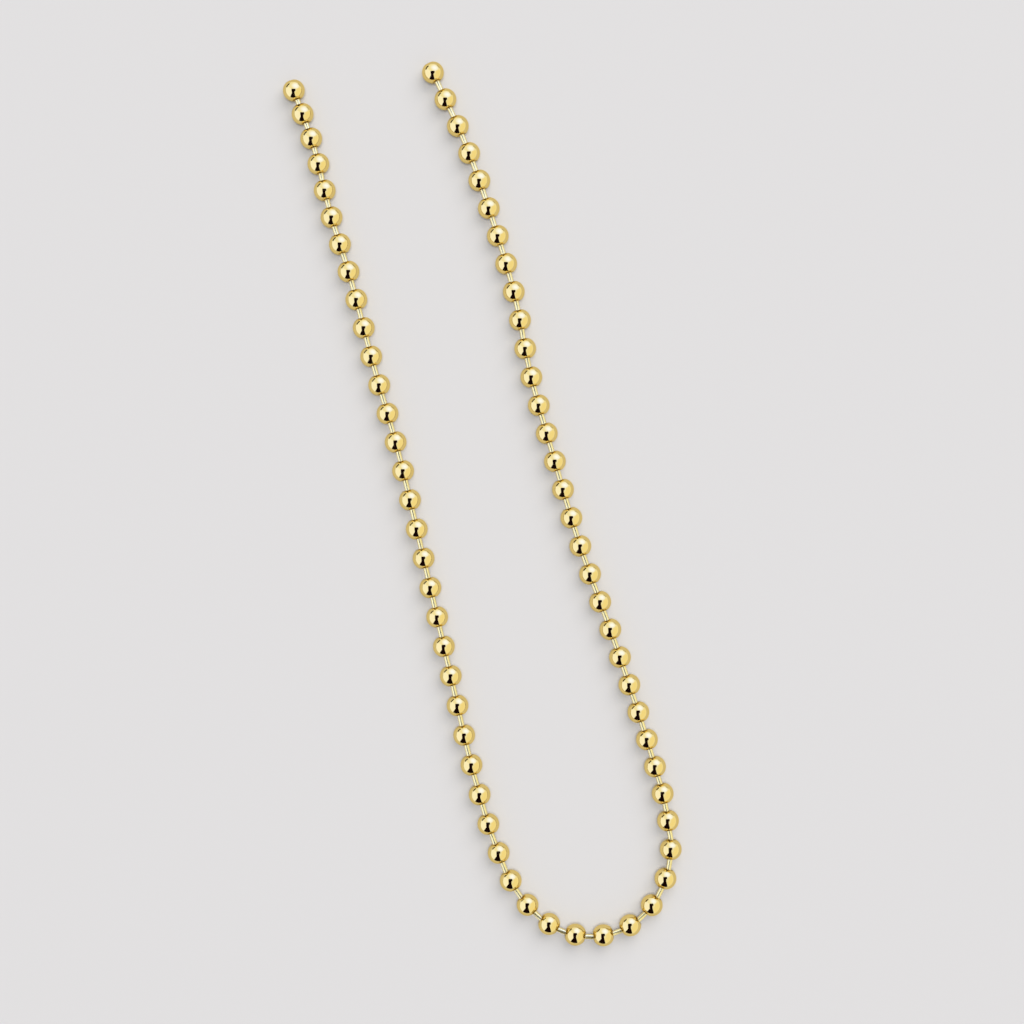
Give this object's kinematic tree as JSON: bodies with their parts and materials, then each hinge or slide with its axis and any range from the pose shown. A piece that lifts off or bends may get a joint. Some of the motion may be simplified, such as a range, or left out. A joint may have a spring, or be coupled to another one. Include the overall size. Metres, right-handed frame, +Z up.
{
  "type": "ball chain necklace",
  "caption": "Open ball chain laid flat in one long narrow bow: hollow drilled balls joined by short headed wire links, with a plain ball at each free end.",
  "frame": {"origin": "on the surface that the chain lies on, under the centre of the chain's box", "axes": "+Y along the two strands, from the bow to the free ends; +X from the left strand to the right one; +Z up from the surface"},
  "size_m": [0.045, 0.2089, 0.005],
  "materials": {
    "polished_balls": "mirror-polished yellow gold plate on brass",
    "bright_wire": "bright drawn wire in the same yellow gold plate"
  },
  "bodies": {
    "root": {"balls": "polished_balls", "links": "bright_wire"}
  },
  "joints": []
}
